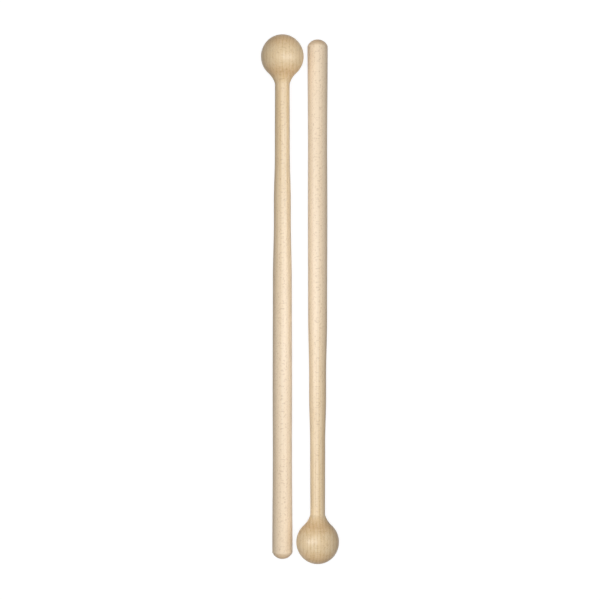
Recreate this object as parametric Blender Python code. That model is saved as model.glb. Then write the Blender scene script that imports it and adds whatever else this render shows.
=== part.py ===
"""A pair of turned wooden timpani mallets, lying side by side, head to butt.

Each mallet is one piece of hardwood off the lathe: a nearly round head, a hollow neck, a shaft that
thickens in two easy tapers, a grip with a slight palm swell, and a domed butt behind a crisp edge.
Metres, +Z up. The origin is on the surface under the middle of the pair, and the mallets lie along Y,
the left one with its head at +Y. Each rests on its head and on its butt's edge, so it slopes a little.
"""

import math

import bmesh
import bpy

# Head, a little longer along the mallet than it is wide
HEAD_WIDTH = 0.0300
HEAD_LENGTH = 0.0309

# Neck, a hollow that leaves the head smoothly and meets the shaft in a faint edge
NECK_HOLLOW_RADIUS = 0.0165
NECK_DIAMETER = 0.01035
NECK_EDGE_ANGLE = math.radians(16.4)

# Shaft and grip, each run's length with the diameter that it ends in, from the neck to the butt
SLIM_LENGTH = 0.0420
SLIM_DIAMETER = 0.0106
SLIM_STRAIGHT_LENGTH = 0.0080
UPPER_TAPER_LENGTH = 0.0324
MIDDLE_DIAMETER = 0.0120
MIDDLE_STRAIGHT_LENGTH = 0.0146
LOWER_TAPER_LENGTH = 0.0410
GRIP_DIAMETER = 0.0134
PALM_LENGTH = 0.0780
PALM_DIAMETER = 0.01375
WAIST_LENGTH = 0.0420
WAIST_DIAMETER = 0.01357
FLARE_LENGTH = 0.0716
BUTT_DIAMETER = 0.0143

# Butt, a dome with a small flat at its tip
DOME_HEIGHT = 0.0045
FLAT_DIAMETER = 0.0036

# The pair: the gap between a head and the butt beside it, and how far each head stands out past it
PAIR_GAP = 0.00265
HEAD_STANDS_OUT = 0.0028

# How finely the round forms are cut
SIDES = 48
ARC_STEP = math.radians(9)
TAPER_TOLERANCE = 0.00002
SHARP_EDGE = math.radians(14)
SAME_POINT = 0.000001

# Pale maple under a satin lacquer, in linear colour
MAPLE_COLOUR = (0.75, 0.55, 0.33, 1.0)
MAPLE_ROUGHNESS = 0.35


def clear_scene():
    for old in list(bpy.data.objects):
        bpy.data.objects.remove(old, do_unlink=True)


def arc_steps(angle):
    return max(1, math.ceil(abs(angle) / ARC_STEP))


def neck_hollow():
    """The hollow's centre, as (along, out from the axis), and the head angle where it leaves the head.

    A head angle of 0 is the head's pole at the neck. The centre lies one hollow radius out from the
    head's surface, squarely, and just far enough from the axis for the arc to reach the neck's
    diameter at the edge angle.
    """
    half_length = HEAD_LENGTH / 2
    half_width = HEAD_WIDTH / 2
    centre_out = NECK_DIAMETER / 2 + NECK_HOLLOW_RADIUS * math.cos(NECK_EDGE_ANGLE)
    low = 0.0
    high = math.pi / 2
    while high - low > 1e-9:
        angle = (low + high) / 2
        lean_along = math.cos(angle) / half_length
        lean_out = math.sin(angle) / half_width
        lean = math.hypot(lean_along, lean_out)
        along = half_length * math.cos(angle) + NECK_HOLLOW_RADIUS * lean_along / lean
        out = half_width * math.sin(angle) + NECK_HOLLOW_RADIUS * lean_out / lean
        if out < centre_out:
            low = angle
        else:
            high = angle
    return along, out, angle


def head_outline(neck_angle):
    """From the head's far pole over its widest point to where the neck's hollow begins."""
    quarter = math.pi / 2
    front = arc_steps(quarter)
    back = arc_steps(quarter - neck_angle)
    angles = [math.pi - quarter * n / front for n in range(front)]
    angles += [quarter - (quarter - neck_angle) * n / back for n in range(back + 1)]
    return [(HEAD_LENGTH / 2 * math.cos(a), HEAD_WIDTH / 2 * math.sin(a)) for a in angles]


def neck_outline(centre_along, centre_out, start):
    """The hollow's arc, from the head's last point to the edge where the shaft begins."""
    first = math.asin((centre_along - start[0]) / NECK_HOLLOW_RADIUS)
    steps = arc_steps(first - NECK_EDGE_ANGLE)
    points = []
    for n in range(1, steps + 1):
        angle = first + (NECK_EDGE_ANGLE - first) * n / steps
        along = centre_along - NECK_HOLLOW_RADIUS * math.sin(angle)
        out = centre_out - NECK_HOLLOW_RADIUS * math.cos(angle)
        points.append((along, out))
    return points


def taper_outline(start, length, end_radius):
    """A run that eases from one radius to the next and is level at both of its ends."""
    along, radius = start
    change = end_radius - radius
    steps = max(1, math.ceil(math.sqrt(0.75 * abs(change) / TAPER_TOLERANCE)))
    points = []
    for n in range(1, steps + 1):
        share = n / steps
        ease = share * share * (3 - 2 * share)
        points.append((along + length * share, radius + change * ease))
    return points


def dome_outline(start):
    """An arc centred on the axis, from the butt's edge to the rim of the flat, then the flat itself."""
    along, edge = start
    rim = FLAT_DIAMETER / 2
    inset = (edge ** 2 - rim ** 2 - DOME_HEIGHT ** 2) / (2 * DOME_HEIGHT)
    radius = math.hypot(inset, edge)
    first = math.atan2(edge, inset)
    last = math.asin(rim / radius)
    steps = arc_steps(first - last)
    points = []
    for n in range(1, steps + 1):
        angle = first + (last - first) * n / steps
        points.append((along - inset + radius * math.cos(angle), radius * math.sin(angle)))
    return points + [(along + DOME_HEIGHT, 0.0)]


def mallet_outline():
    """The turned outline as (along, out) points from the head's pole to the butt's tip.

    Along is counted from the head's centre towards the butt. The second result is the length from
    there to the butt's edge.
    """
    centre_along, centre_out, neck_angle = neck_hollow()
    points = head_outline(neck_angle)
    points += neck_outline(centre_along, centre_out, points[-1])
    runs = (
        (SLIM_LENGTH, SLIM_DIAMETER),
        (SLIM_STRAIGHT_LENGTH, SLIM_DIAMETER),
        (UPPER_TAPER_LENGTH, MIDDLE_DIAMETER),
        (MIDDLE_STRAIGHT_LENGTH, MIDDLE_DIAMETER),
        (LOWER_TAPER_LENGTH, GRIP_DIAMETER),
        (PALM_LENGTH, PALM_DIAMETER),
        (WAIST_LENGTH, WAIST_DIAMETER),
        (FLARE_LENGTH, BUTT_DIAMETER),
    )
    for length, diameter in runs:
        points += taper_outline(points[-1], length, diameter / 2)
    butt_along = points[-1][0]
    points += dome_outline(points[-1])
    return points, butt_along


def turned_mesh(name, outline):
    """The outline spun about Y, with flats up, down and to both sides that touch the true round."""
    half_side = math.pi / SIDES
    bm = bmesh.new()
    verts = []
    for along, out in outline:
        corner = out / math.cos(half_side)
        place = (corner * math.sin(half_side), -along, corner * math.cos(half_side))
        verts.append(bm.verts.new(place))
    edges = [bm.edges.new(pair) for pair in zip(verts, verts[1:])]
    bmesh.ops.spin(
        bm,
        geom=verts + edges,
        cent=(0, 0, 0),
        axis=(0, 1, 0),
        angle=math.tau,
        steps=SIDES,
        use_merge=True,
    )
    bmesh.ops.remove_doubles(bm, verts=bm.verts, dist=SAME_POINT)
    bmesh.ops.recalc_face_normals(bm, faces=bm.faces)
    mesh = bpy.data.meshes.new(name)
    bm.to_mesh(mesh)
    bm.free()
    mesh.shade_smooth()
    mesh.set_sharp_from_angle(angle=SHARP_EDGE)
    return mesh


def lacquered_maple(name):
    material = bpy.data.materials.new(name)
    material.use_nodes = True
    shader = material.node_tree.nodes["Principled BSDF"]
    shader.inputs["Base Color"].default_value = MAPLE_COLOUR
    shader.inputs["Roughness"].default_value = MAPLE_ROUGHNESS
    shader.inputs["Metallic"].default_value = 0.0
    return material


def lay_mallet(name, outline, butt_along, side):
    """One mallet, its origin at its head's centre. Side is -1 for the left one, +1 for the right."""
    half_width = HEAD_WIDTH / 2
    butt_radius = BUTT_DIAMETER / 2
    reach = math.hypot(butt_along, butt_radius)
    slope = math.asin(half_width / reach) - math.atan2(butt_radius, butt_along)
    half_length = (HEAD_LENGTH / 2 + butt_along + DOME_HEIGHT) / 2
    spacing = half_width + PAIR_GAP + butt_radius
    head_along = (half_length - HEAD_LENGTH / 2) * math.cos(slope) + HEAD_STANDS_OUT / 2
    turn = 0.0 if side < 0 else math.pi

    mallet = bpy.data.objects.new(name, turned_mesh(name, outline))
    mallet.location = (side * spacing / 2, -side * head_along, half_width)
    mallet.rotation_euler = (slope, 0.0, turn)
    mallet.data.materials.append(lacquered_maple(f"{name}_maple"))
    bpy.context.collection.objects.link(mallet)


def main():
    clear_scene()
    outline, butt_along = mallet_outline()
    lay_mallet("left_mallet", outline, butt_along, side=-1)
    lay_mallet("right_mallet", outline, butt_along, side=1)


main()
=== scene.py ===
"""The looks of a pair of turned maple timpani mallets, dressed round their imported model.

Each packed mallet gives way to a finer turning of the same outline, in satin lacquered maple.
Metres, +Z up. The mallets lie along Y, the left one with its head at +Y, and the picture is
taken from straight above with +Y at its top.
"""

import math

import bmesh
import bpy
from mathutils import Euler, Matrix, Vector


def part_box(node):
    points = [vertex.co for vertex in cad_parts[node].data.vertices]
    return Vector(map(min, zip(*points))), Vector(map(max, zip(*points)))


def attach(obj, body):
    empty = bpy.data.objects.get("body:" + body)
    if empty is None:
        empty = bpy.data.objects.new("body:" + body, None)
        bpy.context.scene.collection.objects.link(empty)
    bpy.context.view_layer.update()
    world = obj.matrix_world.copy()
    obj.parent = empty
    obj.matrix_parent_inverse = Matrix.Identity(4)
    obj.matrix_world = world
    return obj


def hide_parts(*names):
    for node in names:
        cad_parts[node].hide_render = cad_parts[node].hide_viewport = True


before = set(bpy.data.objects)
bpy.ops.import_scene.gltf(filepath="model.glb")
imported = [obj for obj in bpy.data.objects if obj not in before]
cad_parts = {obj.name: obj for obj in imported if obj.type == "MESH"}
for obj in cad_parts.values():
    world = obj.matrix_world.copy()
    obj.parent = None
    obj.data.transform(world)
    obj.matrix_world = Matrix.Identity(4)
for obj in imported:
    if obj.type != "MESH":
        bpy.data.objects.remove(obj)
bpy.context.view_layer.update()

# Each mallet, and the way along Y that its head points
MALLETS = (("left_mallet", 1), ("right_mallet", -1))
MM = 0.001

# Head and the hollow neck behind it
HEAD_WIDTH = 30.0 * MM
HEAD_LENGTH = 30.9 * MM
NECK_HOLLOW_RADIUS = 16.5 * MM
NECK_DIAMETER = 10.35 * MM
NECK_EDGE_ANGLE = math.radians(16.4)

# Shaft and grip, each run's length with the diameter that it ends in, from the neck to the butt
SHAFT_RUNS = (
    (42.0 * MM, 10.6 * MM),
    (8.0 * MM, 10.6 * MM),
    (32.4 * MM, 12.0 * MM),
    (14.6 * MM, 12.0 * MM),
    (41.0 * MM, 13.4 * MM),
    (78.0 * MM, 13.75 * MM),
    (42.0 * MM, 13.57 * MM),
    (71.6 * MM, 14.3 * MM),
)

# Domed butt with a small flat at its tip
DOME_HEIGHT = 4.5 * MM
FLAT_DIAMETER = 3.6 * MM

# How finely the turning is cut, and how far sanding has eased its three edges
SIDES = 160
ARC_STEP = math.radians(2.5)
SHAFT_STEP = 2.0 * MM
SAME_POINT = 0.001 * MM
EASED_STEPS = 4
NECK_EDGE_EASED = 0.5 * MM
BUTT_EDGE_EASED = 0.12 * MM
FLAT_EDGE_EASED = 0.2 * MM

# Hard maple, palest to deepest
CREAM = "#f2e0c4"
HONEY = "#e9cfa6"
TAN = "#d0b080"
BROWN = "#ad8455"

# Tint that end grain lays over the wood's own colour
END_GRAIN = "#fdf2e4"

# Paler colour towards the grip, and the stretch along the mallet over which the wood pales
PALE = "#fbe8d0"
PALES_FROM = -10.0 * MM
PALES_TO = -230.0 * MM
PALE_SHARE = 0.6

# Its figure. Fibres and rays are drawn coarser than real ones, which are too fine to show
RING_SPACING = 2.3 * MM
PITH_DISTANCE = 95.0 * MM
RING_RUNOUT = math.radians(0.5)
RING_STRETCH = 30.0
RING_WAVER = 2.4
FIBRE_WIDTH = 0.35 * MM
FIBRE_LENGTH = 22.0 * MM
STREAK_WIDTH = 1.3 * MM
STREAK_LENGTH = 90.0 * MM
RAY_REACH = 4.5 * MM
RAY_HEIGHT = 1.2 * MM
RAY_THICKNESS = 0.26 * MM
BLANK_LENGTH = 400.0 * MM

# How much each part of the figure deepens the colour, and how far the fibres stand up
RING_DEPTH = 0.3
STREAK_DEPTH = 0.6
FIBRE_DEPTH = 0.35
FIBRE_RELIEF = 0.03 * MM
FIBRE_RELIEF_SHARE = 0.3

# Satin lacquer: a soft base gloss and a thin coat over it
WOOD_ROUGHNESS = 0.38
LACQUER_IOR = 1.45
BASE_GLOSS = 0.1
COAT = 0.25
COAT_ROUGHNESS = 0.3

# The sockets of a colour Mix node: the share of the second colour, both colours and the result
MIX_SHARE = 0
MIX_FIRST = 6
MIX_SECOND = 7
MIX_RESULT = 2

# Floor, in metres. It is seen as white but for soft shadows, and throws a warm light back at the wood
FLOOR_REACH = 3.0
FLOOR_BELOW = 0.05 * MM
SHADOW_FADES_FROM = 0.25
SHADOW_FADES_TO = 0.6
SHADOW_GREY = 0.25
FLOOR_GLOW = 0.88
BOUNCE = "#77674f"

# Strength of the light from all round
ROOM_LIGHT = 0.13

# Lamps: how far the pair over the inner sides leans, with sizes in metres and powers in watts
KEY_LEAN = math.radians(30)
KEY_DISTANCE = 1.1
KEY_SIZE = (0.5, 1.4)
KEY_POWER = 4.2
SHEEN_TOWARDS_HEAD = 0.03
SHEEN_SIZE = (0.3, 1.4)
SHEEN_POWER = 19.0
OVERHEAD_HEIGHT = 2.2
OVERHEAD_SIZE = (1.6, 1.6)
OVERHEAD_POWER = 31.5

# Camera, straight above the pair
CAMERA_HEIGHT = 1.5
CAMERA_BELOW_MIDDLE = 0.56 * MM
LENS = 127.05


def linear(hex_colour):
    """An sRGB hex colour as linear red, green, blue and alpha."""
    shares = [int(hex_colour[n : n + 2], 16) / 255 for n in (1, 3, 5)]
    return [s / 12.92 if s <= 0.04045 else ((s + 0.055) / 1.055) ** 2.4 for s in shares] + [1.0]


def arc_angles(first, last):
    """Evenly stepped angles from first to last, both included."""
    steps = max(1, math.ceil(abs(last - first) / ARC_STEP))
    return [first + (last - first) * n / steps for n in range(steps + 1)]


def neck_hollow():
    """The hollow's centre, as (along, out from the axis), and the head angle where it leaves the head.

    The centre lies one hollow radius out from the head's surface, squarely, and just far enough
    from the axis for the arc to reach the neck's diameter at the edge angle.
    """
    half_length = HEAD_LENGTH / 2
    half_width = HEAD_WIDTH / 2
    centre_out = NECK_DIAMETER / 2 + NECK_HOLLOW_RADIUS * math.cos(NECK_EDGE_ANGLE)
    low = 0.0
    high = math.pi / 2
    while high - low > 1e-9:
        angle = (low + high) / 2
        lean_along = math.cos(angle) / half_length
        lean_out = math.sin(angle) / half_width
        lean = math.hypot(lean_along, lean_out)
        along = half_length * math.cos(angle) + NECK_HOLLOW_RADIUS * lean_along / lean
        out = half_width * math.sin(angle) + NECK_HOLLOW_RADIUS * lean_out / lean
        if out < centre_out:
            low = angle
        else:
            high = angle
    return along, out, angle


def shaft_run(start, length, end_radius):
    """A run of the shaft that eases from one radius to the next and is level at both of its ends."""
    along, radius = start
    steps = math.ceil(length / SHAFT_STEP)
    points = []
    for n in range(1, steps + 1):
        share = n / steps
        ease = share * share * (3 - 2 * share)
        points.append((along + length * share, radius + (end_radius - radius) * ease))
    return points


def turned_outline():
    """The outline as (along, out) points, from the head's far pole to the butt's tip.

    Along is counted from the head's centre towards the butt. The second result holds the three
    corners that sanding has eased, each with how far.
    """
    centre_along, centre_out, neck_angle = neck_hollow()
    head_angles = arc_angles(math.pi, neck_angle)
    points = [(HEAD_LENGTH / 2 * math.cos(a), HEAD_WIDTH / 2 * math.sin(a)) for a in head_angles]
    leaves_head = math.asin((centre_along - points[-1][0]) / NECK_HOLLOW_RADIUS)
    for angle in arc_angles(leaves_head, NECK_EDGE_ANGLE)[1:]:
        along = centre_along - NECK_HOLLOW_RADIUS * math.sin(angle)
        points.append((along, centre_out - NECK_HOLLOW_RADIUS * math.cos(angle)))
    neck_edge = points[-1]

    for length, diameter in SHAFT_RUNS:
        points += shaft_run(points[-1], length, diameter / 2)
    butt_edge = points[-1]

    rim = FLAT_DIAMETER / 2
    inset = (butt_edge[1] ** 2 - rim ** 2 - DOME_HEIGHT ** 2) / (2 * DOME_HEIGHT)
    radius = math.hypot(inset, butt_edge[1])
    for angle in arc_angles(math.atan2(butt_edge[1], inset), math.asin(rim / radius))[1:]:
        points.append((butt_edge[0] - inset + radius * math.cos(angle), radius * math.sin(angle)))
    flat_edge = points[-1]
    points.append((flat_edge[0], 0.0))
    eased = (
        (neck_edge, NECK_EDGE_EASED),
        (butt_edge, BUTT_EDGE_EASED),
        (flat_edge, FLAT_EDGE_EASED),
    )
    return points, eased


def ring_edges(bm, corner):
    """The edges round the ring that one corner of the outline was turned into."""
    along, out = corner

    def on_ring(vert):
        beside = abs(vert.co.y + along)
        outside = abs(math.hypot(vert.co.x, vert.co.z) - out)
        return beside < SAME_POINT and outside < SAME_POINT

    return [e for e in bm.edges if on_ring(e.verts[0]) and on_ring(e.verts[1])]


def resting_place(node, head_way):
    """Where a mallet lies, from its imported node's box: on its head and its butt's edge, sloping down."""
    low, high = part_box(node)
    eased = turned_outline()[1]
    butt_along, butt_radius = eased[1][0]
    half_width = HEAD_WIDTH / 2
    reach = math.hypot(butt_along, butt_radius)
    slope = math.asin(half_width / reach) - math.atan2(butt_radius, butt_along)
    head_end = high.y if head_way > 0 else low.y
    head_along = head_end - head_way * HEAD_LENGTH / 2 * math.cos(slope)
    centre = Vector(((low.x + high.x) / 2, head_along, half_width))
    turn = 0.0 if head_way > 0 else math.pi
    return Matrix.LocRotScale(centre, Euler((slope, 0.0, turn)), None)


def turn_mallet(node, place):
    """The fine turning of one mallet, spun about its own axis and then laid in its place."""
    outline, eased = turned_outline()
    bm = bmesh.new()
    verts = [bm.verts.new((0.0, -along, out)) for along, out in outline]
    edges = [bm.edges.new(pair) for pair in zip(verts, verts[1:])]
    bmesh.ops.spin(
        bm,
        geom=verts + edges,
        cent=(0, 0, 0),
        axis=(0, 1, 0),
        angle=math.tau,
        steps=SIDES,
        use_merge=True,
    )
    bmesh.ops.remove_doubles(bm, verts=bm.verts, dist=SAME_POINT)
    for corner, width in eased:
        bmesh.ops.bevel(
            bm,
            geom=ring_edges(bm, corner),
            offset=width,
            segments=EASED_STEPS,
            profile=0.5,
            affect="EDGES",
            material=-1,
        )
    bmesh.ops.recalc_face_normals(bm, faces=bm.faces)
    mesh = bpy.data.meshes.new(f"{node}_turning")
    bm.to_mesh(mesh)
    bm.free()
    mesh.transform(place)
    mesh.shade_smooth()
    mallet = bpy.data.objects.new(f"{node}_turning", mesh)
    bpy.context.scene.collection.objects.link(mallet)
    return mallet


def add_node(tree, kind, inputs=None, stops=None, **settings):
    """Adds a node. An input that is another node's socket is linked, and any other is set."""
    node = tree.nodes.new("ShaderNode" + kind)
    for name, value in settings.items():
        setattr(node, name, value)
    for socket, value in (inputs or {}).items():
        if isinstance(value, bpy.types.NodeSocket):
            tree.links.new(value, node.inputs[socket])
        else:
            node.inputs[socket].default_value = value
    if stops:
        elements = node.color_ramp.elements
        while len(elements) < len(stops):
            elements.new(1.0)
        for element, (position, colour) in zip(elements, stops):
            element.position = position
            element.color = colour
    return node


def grey(value):
    return (value, value, value, 1.0)


def seen_mask(tree):
    """1 where the surface is seen, directly, mirrored or through glass, and 0 where it gives light."""
    path = add_node(tree, "LightPath")
    straight = add_node(
        tree,
        "Math",
        {0: path.outputs["Is Camera Ray"], 1: path.outputs["Is Glossy Ray"]},
        operation="ADD",
        use_clamp=True,
    )
    seen = add_node(
        tree,
        "Math",
        {0: straight.outputs["Value"], 1: path.outputs["Is Transmission Ray"]},
        operation="ADD",
        use_clamp=True,
    )
    return seen.outputs["Value"]


def grain_pattern(tree, vector, size, detail):
    """Soft random blobs of a real size, given across the grain to the pith, along it and around."""
    stretched = add_node(
        tree, "Mapping", {"Vector": vector, "Scale": tuple(1 / length for length in size)}
    )
    noise = add_node(
        tree, "TexNoise", {"Vector": stretched.outputs["Vector"], "Scale": 1.0, "Detail": detail}
    )
    return noise.outputs["Fac"]


def lacquered_maple(node, place, blank):
    """Hard maple, turned, sanded and sprayed with satin lacquer.

    The eye gets pale honey wood with faint straight rings, fine fibres, small brown ray flecks
    where the surface is quarter sawn, slightly deeper colour on cut end grain, and a soft sheen.
    """
    material = bpy.data.materials.new(f"{node}_lacquered_maple")
    material.use_nodes = True
    tree = material.node_tree
    shader = tree.nodes["Principled BSDF"]

    # Along the mallet is Y, with 0 at the head's centre
    coordinates = add_node(tree, "TexCoord")
    in_mallet = add_node(
        tree,
        "Mapping",
        {
            "Vector": coordinates.outputs["Object"],
            "Location": place.translation,
            "Rotation": place.to_euler(),
        },
        vector_type="TEXTURE",
    ).outputs["Vector"]

    # Both mallets come from one board, one blank after the other
    board = add_node(
        tree,
        "Mapping",
        {"Vector": in_mallet, "Location": (0.0, blank * BLANK_LENGTH, 0.0)},
    ).outputs["Vector"]

    # Growth rings, as cylinders round a pith off to one side. A wave repeats 20 / tau times a unit
    round_pith = add_node(
        tree,
        "Mapping",
        {
            "Vector": board,
            "Location": (PITH_DISTANCE, 0.0, 0.0),
            "Rotation": (0.0, 0.0, RING_RUNOUT),
            "Scale": (1.0, 1 / RING_STRETCH, 1.0),
        },
    )
    rings = add_node(
        tree,
        "TexWave",
        {
            "Vector": round_pith.outputs["Vector"],
            "Scale": math.tau / 20 / RING_SPACING,
            "Distortion": RING_WAVER,
            "Detail": 1.0,
            "Detail Scale": 1.6,
        },
        wave_type="RINGS",
        rings_direction="Y",
        wave_profile="SAW",
    )
    late_wood = add_node(
        tree,
        "ValToRGB",
        {"Fac": rings.outputs["Fac"]},
        stops=((0.0, grey(0.0)), (0.7, grey(0.3)), (0.93, grey(1.0)), (1.0, grey(0.0))),
    )

    # Fibres and broader streaks along the grain
    fibres = grain_pattern(tree, board, (FIBRE_WIDTH, FIBRE_LENGTH, FIBRE_WIDTH), 2.0)
    streaks = grain_pattern(tree, board, (STREAK_WIDTH, STREAK_LENGTH, STREAK_WIDTH), 2.0)

    # Depth of colour, from the rings, streaks and fibres together
    ring_depth = add_node(
        tree, "Math", {0: late_wood.outputs["Color"], 1: RING_DEPTH}, operation="MULTIPLY"
    )
    streak_depth = add_node(
        tree,
        "Math",
        {0: streaks, 1: STREAK_DEPTH, 2: ring_depth.outputs["Value"]},
        operation="MULTIPLY_ADD",
    )
    depth = add_node(
        tree,
        "Math",
        {0: fibres, 1: FIBRE_DEPTH, 2: streak_depth.outputs["Value"]},
        operation="MULTIPLY_ADD",
    )
    wood = add_node(
        tree,
        "ValToRGB",
        {"Fac": depth.outputs["Value"]},
        stops=((0.2, linear(CREAM)), (0.6, linear(HONEY)), (1.0, linear(TAN))),
    )

    # The wood pales from the head towards the grip
    along = add_node(tree, "SeparateXYZ", {"Vector": in_mallet})
    pale = add_node(
        tree,
        "MapRange",
        {
            "Value": along.outputs["Y"],
            "From Min": PALES_FROM,
            "From Max": PALES_TO,
            "To Max": PALE_SHARE,
        },
        interpolation_type="SMOOTHSTEP",
    )
    paled = add_node(
        tree,
        "Mix",
        {
            MIX_SHARE: pale.outputs["Result"],
            MIX_FIRST: wood.outputs["Color"],
            MIX_SECOND: linear(PALE),
        },
        data_type="RGBA",
    )

    # Ray flecks: thin sheets that run out from the pith, short along the grain
    rays = grain_pattern(tree, board, (RAY_REACH, RAY_HEIGHT, RAY_THICKNESS), 1.0)
    flecks = add_node(
        tree,
        "ValToRGB",
        {"Fac": rays},
        stops=((0.54, grey(0.0)), (0.7, grey(0.3))),
    )
    flecked = add_node(
        tree,
        "Mix",
        {
            MIX_SHARE: flecks.outputs["Color"],
            MIX_FIRST: paled.outputs[MIX_RESULT],
            MIX_SECOND: linear(BROWN),
        },
        data_type="RGBA",
    )

    # End grain takes in more lacquer and is deeper where the surface cuts across the fibres
    axis = place.to_3x3() @ Vector((0.0, 1.0, 0.0))
    across = add_node(
        tree,
        "VectorMath",
        {0: coordinates.outputs["Normal"], 1: axis},
        operation="DOT_PRODUCT",
    )
    cut = add_node(tree, "Math", {0: across.outputs["Value"]}, operation="ABSOLUTE")
    end_grain = add_node(
        tree,
        "ValToRGB",
        {"Fac": cut.outputs["Value"]},
        stops=((0.3, grey(0.0)), (0.75, grey(1.0))),
    )
    coloured = add_node(
        tree,
        "Mix",
        {
            MIX_SHARE: end_grain.outputs["Color"],
            MIX_FIRST: flecked.outputs[MIX_RESULT],
            MIX_SECOND: linear(END_GRAIN),
        },
        data_type="RGBA",
        blend_type="MULTIPLY",
    )
    tree.links.new(coloured.outputs[MIX_RESULT], shader.inputs["Base Color"])

    shader.inputs["Roughness"].default_value = WOOD_ROUGHNESS
    shader.inputs["IOR"].default_value = LACQUER_IOR
    shader.inputs["Specular IOR Level"].default_value = BASE_GLOSS
    shader.inputs["Coat Weight"].default_value = COAT
    shader.inputs["Coat Roughness"].default_value = COAT_ROUGHNESS
    bump = add_node(
        tree,
        "Bump",
        {"Height": fibres, "Strength": FIBRE_RELIEF_SHARE, "Distance": FIBRE_RELIEF},
    )
    tree.links.new(bump.outputs["Normal"], shader.inputs["Normal"])
    return material


def dress_mallets():
    pieces = {}
    for blank, (node, head_way) in enumerate(MALLETS):
        place = resting_place(node, head_way)
        mallet = turn_mallet(node, place)
        mallet.data.materials.append(lacquered_maple(node, place, blank))
        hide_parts(node)
        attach(mallet, node)
        pieces[node] = mallet
    return pieces


def paper_floor():
    """Pale matt paper, seen white apart from the mallets' soft shadow, which fades out round them."""
    bm = bmesh.new()
    bmesh.ops.create_grid(bm, x_segments=1, y_segments=1, size=FLOOR_REACH)
    bmesh.ops.translate(bm, verts=bm.verts, vec=(0.0, 0.0, -FLOOR_BELOW))
    mesh = bpy.data.meshes.new("floor")
    bm.to_mesh(mesh)
    bm.free()
    floor = bpy.data.objects.new("floor", mesh)
    bpy.context.scene.collection.objects.link(floor)

    material = bpy.data.materials.new("matt_paper")
    material.use_nodes = True
    tree = material.node_tree
    tree.nodes.remove(tree.nodes["Principled BSDF"])
    coordinates = add_node(tree, "TexCoord")
    away = add_node(tree, "VectorMath", {0: coordinates.outputs["Object"]}, operation="LENGTH")
    fade = add_node(
        tree,
        "MapRange",
        {
            "Value": away.outputs["Value"],
            "From Min": SHADOW_FADES_FROM,
            "From Max": SHADOW_FADES_TO,
        },
        interpolation_type="SMOOTHSTEP",
    )
    bounce = add_node(tree, "BsdfDiffuse", {"Color": linear(BOUNCE)})
    shade = add_node(tree, "BsdfDiffuse", {"Color": grey(SHADOW_GREY)})
    glow = add_node(tree, "Emission", {"Color": grey(1.0), "Strength": FLOOR_GLOW})
    near = add_node(tree, "AddShader", {0: shade.outputs["BSDF"], 1: glow.outputs["Emission"]})
    white = add_node(tree, "Emission", {"Color": grey(1.0), "Strength": 1.0})
    paper = add_node(
        tree,
        "MixShader",
        {0: fade.outputs["Result"], 1: near.outputs["Shader"], 2: white.outputs["Emission"]},
    )
    surface = add_node(
        tree,
        "MixShader",
        {0: seen_mask(tree), 1: bounce.outputs["BSDF"], 2: paper.outputs["Shader"]},
    )
    tree.links.new(surface.outputs["Shader"], tree.nodes["Material Output"].inputs["Surface"])
    floor.data.materials.append(material)


def studio_world():
    """Dim grey light from all round, seen as white."""
    world = bpy.data.worlds.new("studio")
    bpy.context.scene.world = world
    world.use_nodes = True
    tree = world.node_tree
    background = tree.nodes["Background"]
    strength = add_node(
        tree,
        "MapRange",
        {"Value": seen_mask(tree), "To Min": ROOM_LIGHT, "To Max": 1.0},
    )
    background.inputs["Color"].default_value = grey(1.0)
    tree.links.new(strength.outputs["Result"], background.inputs["Strength"])


def softbox(name, target, direction, distance, size, power, lit=None):
    """A rectangular soft lamp that faces the target, with its length along Y.

    It lights everything, or only the piece that it is given.
    """
    light = bpy.data.lights.new(name, "AREA")
    light.shape = "RECTANGLE"
    light.size, light.size_y = size
    light.energy = power
    lamp = bpy.data.objects.new(name, light)
    lamp.location = Vector(target) + direction.normalized() * distance
    lamp.rotation_euler = direction.to_track_quat("Z", "Y").to_euler()
    bpy.context.scene.collection.objects.link(lamp)
    if lit:
        receivers = bpy.data.collections.new(f"lit_by_{name}")
        receivers.objects.link(lit)
        lamp.light_linking.receiver_collection = receivers
    return lamp


def studio_light(pieces):
    """A soft lamp for each mallet, over its inner side, and a broad one straight above.

    With each mallet's lamp goes a narrower one, which shows in the lacquer alone as its highlight.
    """
    middle = (0.0, 0.0, 0.0)
    for node, head_way in MALLETS:
        lit = pieces[node]
        inward = Vector((head_way * math.sin(KEY_LEAN), 0.0, math.cos(KEY_LEAN)))
        key = softbox(f"{node}_key", middle, inward, KEY_DISTANCE, KEY_SIZE, KEY_POWER, lit)
        key.visible_glossy = False
        sheen_target = (0.0, head_way * SHEEN_TOWARDS_HEAD, 0.0)
        sheen = softbox(
            f"{node}_sheen", sheen_target, inward, KEY_DISTANCE, SHEEN_SIZE, SHEEN_POWER, lit
        )
        sheen.visible_diffuse = False
    upward = Vector((0.0, 0.0, 1.0))
    overhead = softbox("overhead", middle, upward, OVERHEAD_HEIGHT, OVERHEAD_SIZE, OVERHEAD_POWER)
    overhead.visible_glossy = False


def camera_above():
    camera = bpy.data.cameras.new("camera")
    camera.lens = LENS
    stand = bpy.data.objects.new("camera", camera)
    stand.location = (0.0, -CAMERA_BELOW_MIDDLE, CAMERA_HEIGHT)
    bpy.context.scene.collection.objects.link(stand)
    bpy.context.scene.camera = stand


mallets = dress_mallets()
paper_floor()
studio_world()
studio_light(mallets)
camera_above()
bpy.context.scene.view_settings.view_transform = "Standard"
